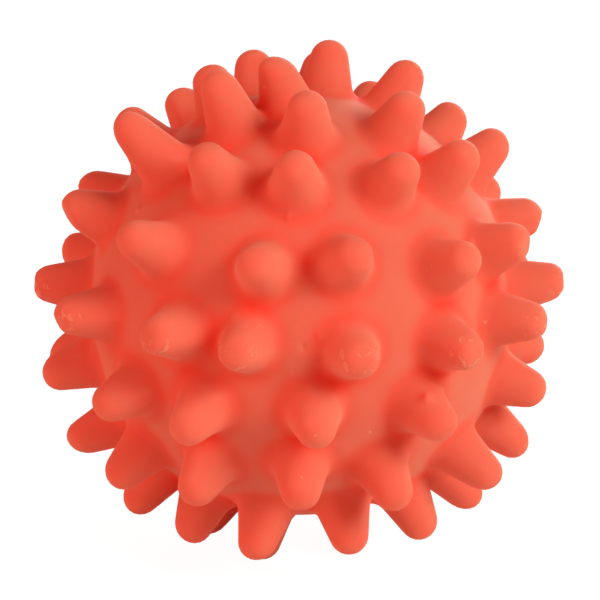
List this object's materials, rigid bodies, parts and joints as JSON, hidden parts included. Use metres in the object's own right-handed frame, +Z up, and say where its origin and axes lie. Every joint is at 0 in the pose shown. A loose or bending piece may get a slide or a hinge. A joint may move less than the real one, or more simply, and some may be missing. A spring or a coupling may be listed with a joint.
{
  "type": "spiky sensory squeeze ball",
  "caption": "Hollow soft latex ball covered in blunt round-tipped spikes, with a push-in reed squeaker set flush in its back.",
  "frame": {"origin": "on the floor, straight below the centre of the ball, in the plane of the three lowest spike tips", "axes": "+Z up, -Y toward the viewer of the picture, +Y out of the ball along the squeaker, +X to the viewer's right"},
  "size_m": [0.0744, 0.0709, 0.0738],
  "materials": {
    "latex": "matte",
    "squeaker_plastic": "matte",
    "reed_film": "gloss"
  },
  "bodies": {
    "ball": {"ball_skin": "latex", "squeaker_body": "squeaker_plastic", "reed_seat": "squeaker_plastic", "reed_clip": "squeaker_plastic"},
    "reed": {"reed": "reed_film"}
  },
  "joints": [
    {"name": "reed_flex", "type": "hinge", "parent": "ball", "child": "reed", "pos_m": [0, 0.01975, 0.03666], "axis": [1, 0, 0], "range_deg": [-3.5, 5], "stiffness_Nm_per_rad": 0.0006, "deforming": ["reed"]}
  ]
}
